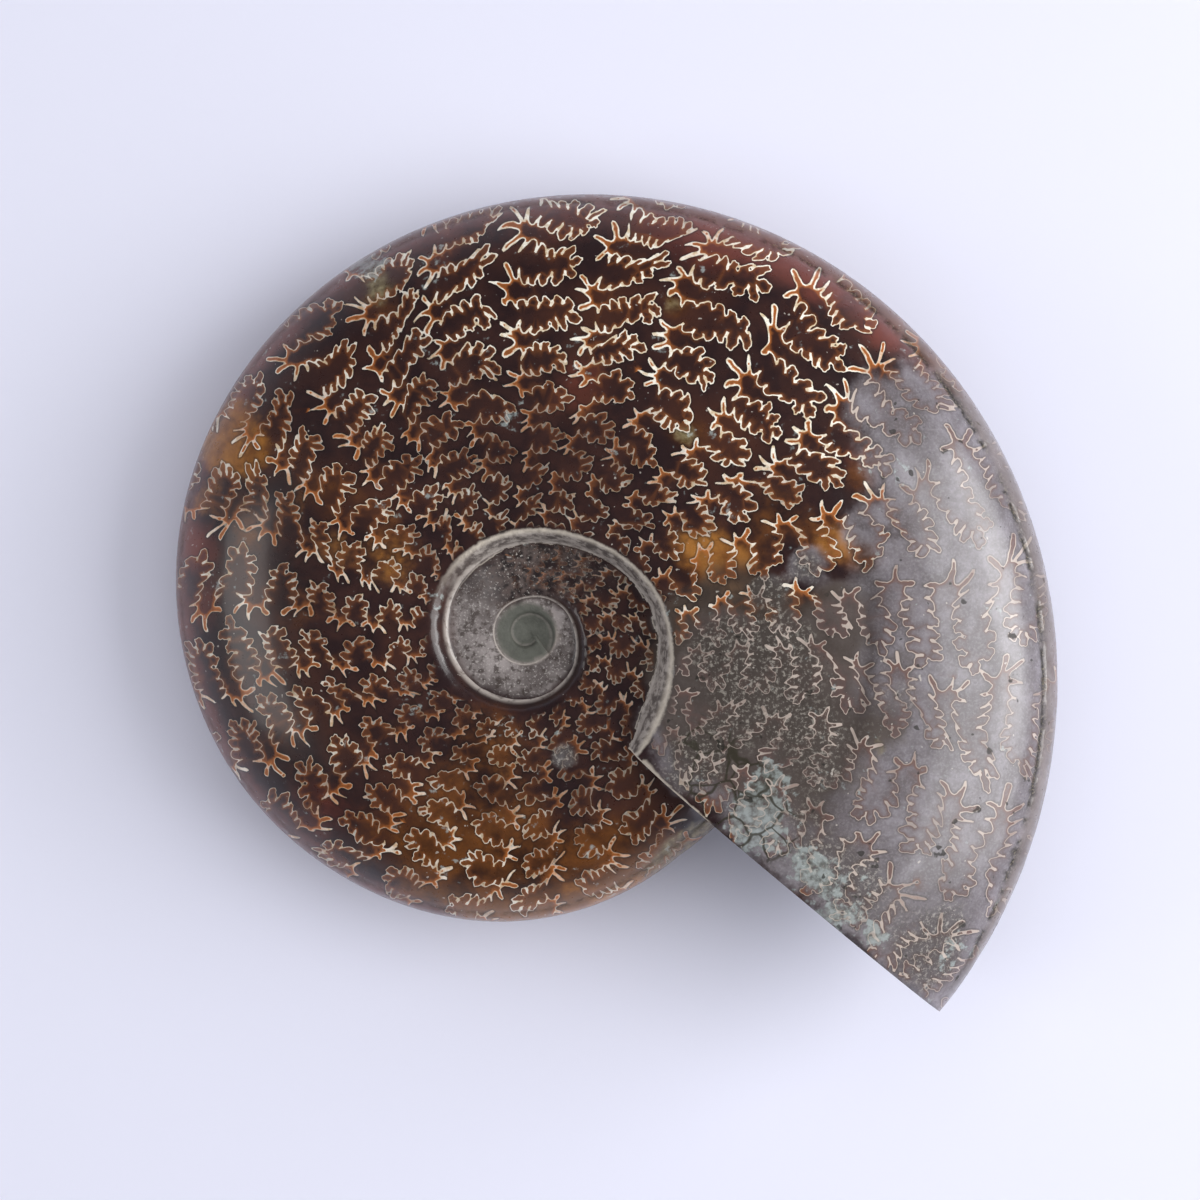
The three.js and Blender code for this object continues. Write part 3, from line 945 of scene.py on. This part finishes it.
def fossil_material():
    n = Nodes("polished_fossil")
    mix, smooth, noise = n.mix, n.smooth, n.noise
    where = n.add("ShaderNodeTexCoord").outputs["Object"]
    broad = noise(where, 45.0, 2.0)
    cloud = noise(where, 150.0, 4.0, 0.6)
    fine = noise(where, 700.0, 4.0, 0.6)
    grain = noise(where, 2400.0, 3.0, 0.6)
    line, fold, lean, edge, wall_share, wound = map(
        n.attribute, ("line", "fold", "lean", "edge", "wall", "wound"))
    gold, grey, rough, green, red, brown, olive, honeyed = map(
        n.attribute, ("gold", "grey", "rough", "green", "red", "brown", "olive", "honey"))
    matte, deep, mottle, pale, ring, dim, bold = map(
        n.attribute, ("matte", "deep", "mottle", "pale", "ring", "dim", "bold"))
    groove, bevel, crease, chipped_edge_and_glint, cracked = map(
        n.attribute, ("groove", "bevel", "crease", "chipped_edge_and_glint", "cracked"))

    def ragged(value, amount, low, high):
        """An attribute's patch with an uneven edge."""
        shift = n.math("MULTIPLY_ADD", n.math("SUBTRACT", cloud, 0.5), amount, value)
        return smooth(shift, low, high)

    def both(a, b):
        return n.math("MULTIPLY", a, b)

    def most(first, *others):
        for value in others:
            first = n.math("MAXIMUM", first, value)
        return first

    def tones(value, low, high, first, second):
        return mix(smooth(value, low, high), first, second)

    def toward(value, end):
        """1 where the value is 0, and end where it is 1."""
        return smooth(value, 0.0, 1.0, 1.0, end)

    grey_zone = ragged(grey, 0.9, 0.25, 0.7)
    gold_zone = ragged(gold, 1.0, 0.2, 0.85)
    red_zone = ragged(most(red, both(edge, 0.7)), 0.5, 0.25, 0.8)
    rough_zone = ragged(rough, 1.1, 0.4, 0.8)
    growing = ragged(green, 3.0, 0.1, 1.1)
    spots = n.math("MULTIPLY_ADD", n.math("SUBTRACT", fine, 0.5), 2.6, growing)
    green_zone = smooth(spots, 0.4, 0.8)
    on_wall = smooth(wall_share, 1.0, 1.6)

    # the filling of the chambers
    dark = tones(cloud, 0.35, 0.7, (38, 23, 24), (58, 34, 29))
    dark = mix(smooth(broad, 0.5, 0.68, 0.0, 0.6), dark, (78, 43, 28))
    ground = mix(red_zone, dark, mix(cloud, (78, 33, 27), (124, 62, 46)))
    ambers = tones(cloud, 0.3, 0.7, (46, 23, 10), (110, 64, 22))
    ground = mix(both(gold_zone, 0.85), ground, ambers)
    ground = mix(both(both(gold_zone, edge), 0.75), ground, (150, 98, 42))
    honey = tones(cloud, 0.35, 0.65, (112, 66, 24), (172, 114, 46))
    ground = mix(both(ragged(honeyed, 1.0, 0.25, 0.8), 0.8), ground, honey)
    greys = tones(cloud, 0.35, 0.65, (106, 100, 104), (134, 129, 135))
    greys = mix(smooth(fine, 0.42, 0.6, 0.0, 0.25), greys, (72, 63, 60))
    greys = mix(smooth(grain, 0.5, 0.62, 0.0, 0.22), greys, (160, 156, 158))
    ground = mix(both(grey_zone, 0.92), ground, greys)
    browns = mix(cloud, (44, 36, 32), (86, 74, 64))
    ground = mix(both(ragged(brown, 0.9, 0.3, 0.8), 0.85), ground, browns)
    olives = tones(fine, 0.35, 0.65, (92, 80, 48), (158, 146, 108))
    ground = mix(both(ragged(olive, 1.2, 0.3, 0.8), 0.8), ground, olives)

    # amber in the folds of the sutures
    fall = smooth(lean, -0.8, 0.8, -1.8, -3.0)
    near = n.math("POWER", 2.718, both(line, fall))
    amber = tones(line, 0.08, 0.7, (198, 116, 50), (70, 33, 14))
    amber = mix(smooth(lean, -0.5, 0.9, 0.0, 0.6), amber, (84, 46, 27))
    amber = mix(both(grey_zone, 0.9), amber, (94, 76, 75))
    faded = toward(dim, 0.4)
    reach = both(both(near, fold), smooth(fine, 0.2, 0.6, 0.85, 1.3))
    reach = both(reach, toward(grey_zone, 1.15))
    reach = n.math("MINIMUM", both(both(reach, faded), on_wall), 1.0)
    colour = mix(reach, ground, amber)
    outside = both(smooth(line, 0.15, 0.5, 0.5, 0.0), n.math("SUBTRACT", 1.0, both(fold, 0.75)))
    colour = mix(outside, colour, mix(grey_zone, (20, 13, 12), (66, 56, 52)))

    # sparkling rough spots and pale growths
    spark = smooth(noise(where, 1500.0, 3.0, 0.7), 0.5, 0.66)
    speck = mix(spark, (56, 48, 42), (158, 152, 142))
    colour = mix(both(rough_zone, 0.62), colour, speck)
    growth = tones(fine, 0.35, 0.62, (84, 92, 84), (172, 184, 182))
    colour = mix(both(green_zone, 0.52), colour, growth)

    # cracks
    unrest = n.add("ShaderNodeTexNoise", noise_dimensions="3D")
    n.feed(unrest.inputs["Vector"], where)
    unrest.inputs["Scale"].default_value = 160.0
    shake = n.add("ShaderNodeVectorMath", operation="MULTIPLY_ADD")
    n.feed(shake.inputs[0], unrest.outputs[1])
    shake.inputs[1].default_value = (0.004, 0.004, 0.004)
    n.feed(shake.inputs[2], where)
    web = n.add("ShaderNodeTexVoronoi", feature="DISTANCE_TO_EDGE")
    n.feed(web.inputs["Vector"], shake.outputs[0])
    web.inputs["Scale"].default_value = 190.0
    split = both(smooth(web.outputs["Distance"], 0.012, 0.05, 1.0, 0.0), smooth(cracked, 0.3, 0.6))
    colour = mix(both(split, 0.85), colour, (46, 42, 30))

    # the suture line
    width = smooth(cloud, 0.35, 0.65, 0.05, 0.084)
    width = both(width, smooth(lean, -1.0, 0.6, 1.2, 0.9))
    width = both(width, smooth(bold, 0.0, 1.0, 0.9, 1.5))
    width = both(width, toward(grey_zone, 1.2))
    stroke = n.math("SUBTRACT", 1.0, smooth(line, both(width, 0.5), both(width, 1.5)))
    strength = most(smooth(noise(where, 90.0, 2.0), 0.4, 0.6, 0.4, 0.85), bold)
    strength = both(strength, toward(grey_zone, 0.95))
    strength = both(both(strength, faded), on_wall)
    strength = both(strength, toward(mottle, 0.3))
    cream = tones(fine, 0.35, 0.6, (212, 190, 156), (250, 245, 230))
    cream = mix(grey_zone, cream, (194, 179, 168))
    colour = mix(both(stroke, strength), colour, cream)

    # pits, and painted shade in the crease
    pits = both(smooth(noise(where, 420.0, 2.0), 0.69, 0.72), grey_zone)
    colour = mix(both(pits, 0.8), colour, (30, 26, 20))
    colour = mix(both(crease, 0.6), colour, (38, 29, 25))
    motes = smooth(noise(where, 1100.0, 1.0), 0.76, 0.79, 0.0, 0.5)
    colour = mix(motes, colour, (206, 198, 188))

    # inner whorls
    mottles = tones(fine, 0.38, 0.62, (32, 27, 28), (96, 84, 80))
    mottles = mix(smooth(grain, 0.6, 0.68), mottles, (190, 184, 178))
    colour = mix(both(mottle, smooth(cloud, 0.35, 0.55, 0.4, 0.9)), colour, mottles)
    stone = tones(cloud, 0.35, 0.65, (92, 84, 82), (148, 140, 138))
    stone = mix(smooth(fine, 0.48, 0.62, 0.0, 0.8), stone, (58, 48, 44))
    stone = mix(smooth(grain, 0.55, 0.66, 0.0, 0.6), stone, (176, 170, 166))
    stone = mix(deep, stone, mix(fine, (66, 67, 61), (104, 105, 97)))
    colour = mix(matte, colour, stone)
    colour = mix(both(ring, 0.6), colour, (170, 160, 152))

    # the wall round the umbilicus, with its pale edge
    walls = tones(fine, 0.38, 0.62, (96, 88, 84), (174, 165, 158))
    wall_edge = mix(fine, (152, 140, 126), (224, 215, 202))
    walls = mix(smooth(wall_share, 0.55, 0.9), walls, wall_edge)
    band = smooth(n.math("MULTIPLY_ADD", fine, 0.4, wall_share), 1.1, 1.35)
    pale_band = both(n.math("SUBTRACT", 1.0, band), pale)
    colour = mix(pale_band, colour, walls)
    # a pale line at the seam: partly pale streaks of shell, partly painted light on the foot of the
    # steep wall, which lies in shade
    seam_streak_and_light = smooth(wall_share, 0.06, 0.34, 1.0, 0.0)
    seam_streak_and_light = both(seam_streak_and_light, smooth(fine, 0.3, 0.55, 0.3, 0.9))
    seam_streak_and_light = both(seam_streak_and_light, toward(deep, 0.25))
    colour = mix(seam_streak_and_light, colour, (176, 167, 160))
    # the cut's pale edge, partly chipped shell and partly a painted highlight
    chip_and_glint = both(smooth(chipped_edge_and_glint, 0.5, 0.85), smooth(fine, 0.3, 0.5, 0.4, 0.9))
    colour = mix(chip_and_glint, colour, (206, 194, 178))

    # the rough groove by the rim, darkened as grit and as painted shade in its hollow, and the
    # bevel outside it
    worn = mix(cloud, (70, 58, 50), (128, 114, 104))
    colour = mix(both(bevel, smooth(wound, 150.0, 200.0, 0.55, 0.08)), colour, worn)
    rut = both(groove, smooth(fine, 0.3, 0.55, 0.55, 1.0))
    grit_and_shade = tones(grain, 0.5, 0.66, (26, 22, 17), (104, 96, 76))
    colour = mix(rut, colour, grit_and_shade)

    # the polish, and where it is missing
    dull = most(matte, pale_band, both(pits, 0.6), both(mottle, 0.5), both(rough_zone, 0.55), rut)
    roughness = n.math("MULTIPLY_ADD", fine, 0.12, smooth(dull, 0.0, 1.0, 0.23, 0.6))

    height = n.math("MULTIPLY_ADD", grain, 0.3, both(fine, 0.6))
    bump = n.add("ShaderNodeBump")
    n.feed(bump.inputs["Height"], height)
    n.feed(bump.inputs["Strength"], smooth(dull, 0.0, 1.0, 0.03, 0.9))
    bump.inputs["Distance"].default_value = 0.0004

    shader = n.surface()
    n.feed(shader.inputs["Base Color"], colour)
    n.feed(shader.inputs["Roughness"], roughness)
    n.feed(shader.inputs["Normal"], bump.outputs["Normal"])
    shader.inputs["IOR"].default_value = 1.45
    n.feed(shader.inputs["Coat Weight"], smooth(dull, 0.0, 0.8, 0.4, 0.0))
    shader.inputs["Coat Roughness"].default_value = 0.12
    return n.material


shell_object = new_object("fossil_shell", shell_mesh)
shell_mesh.materials.append(fossil_material())
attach(shell_object, "root")
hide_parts("ammonite")


# Floor and lights
def add_floor():
    n = Nodes("pale_floor")
    shader = n.surface()
    shader.inputs["Base Color"].default_value = linear(226, 227, 243)
    shader.inputs["Roughness"].default_value = 0.6
    shader.inputs["Specular IOR Level"].default_value = 0.2
    mesh = bpy.data.meshes.new("floor")
    reach = 4.0
    corners = [(-reach, -reach, 0), (reach, -reach, 0), (reach, reach, 0), (-reach, reach, 0)]
    mesh.from_pydata(corners, [], [(0, 1, 2, 3)])
    mesh.materials.append(n.material)
    floor = new_object("floor", mesh)


def add_light(name, place_at, target, size, power):
    data = bpy.data.lights.new(name, "AREA")
    data.shape = "RECTANGLE"
    data.size, data.size_y = size
    data.energy = power
    lamp = new_object(name, data)
    lamp.location = place_at
    aim = Vector(target) - Vector(place_at)
    lamp.rotation_euler = aim.to_track_quat("-Z", "Y").to_euler()
    return lamp


def add_world():
    """Dim overhead, so that the polish isn't veiled, and pale round the horizon."""
    world = bpy.data.worlds.new("soft_white")
    world.use_nodes = True
    tree = world.node_tree
    background = tree.nodes["Background"]
    background.inputs["Color"].default_value = linear(228, 230, 246)
    split = tree.nodes.new("ShaderNodeSeparateXYZ")
    tree.links.new(tree.nodes.new("ShaderNodeTexCoord").outputs["Generated"], split.inputs[0])
    fade = tree.nodes.new("ShaderNodeMapRange")
    fade.interpolation_type = "SMOOTHSTEP"
    tree.links.new(split.outputs[2], fade.inputs[0])
    for socket, value in zip(fade.inputs[1:5], (0.02, 0.45, 0.75, 0.1)):
        socket.default_value = value
    tree.links.new(fade.outputs[0], background.inputs["Strength"])
    bpy.context.scene.world = world


add_floor()
add_light("key", (0.85, 0.0, 0.56), SUBJECT, (1.0, 0.85), 10.0)
add_light("strip", (1.0, 0.2, 0.44), SUBJECT, (0.8, 0.3), 3.0)
add_light("fill", (-0.85, -0.1, 0.55), SUBJECT, (0.6, 0.4), 1.7)
overhead = add_light("overhead", (0.04, 0.06, 1.4), (0.0, 0.0, 0.0), (2.4, 2.4), 15.9)
overhead.visible_glossy = False
add_world()
bpy.context.scene.view_settings.view_transform = "Standard"
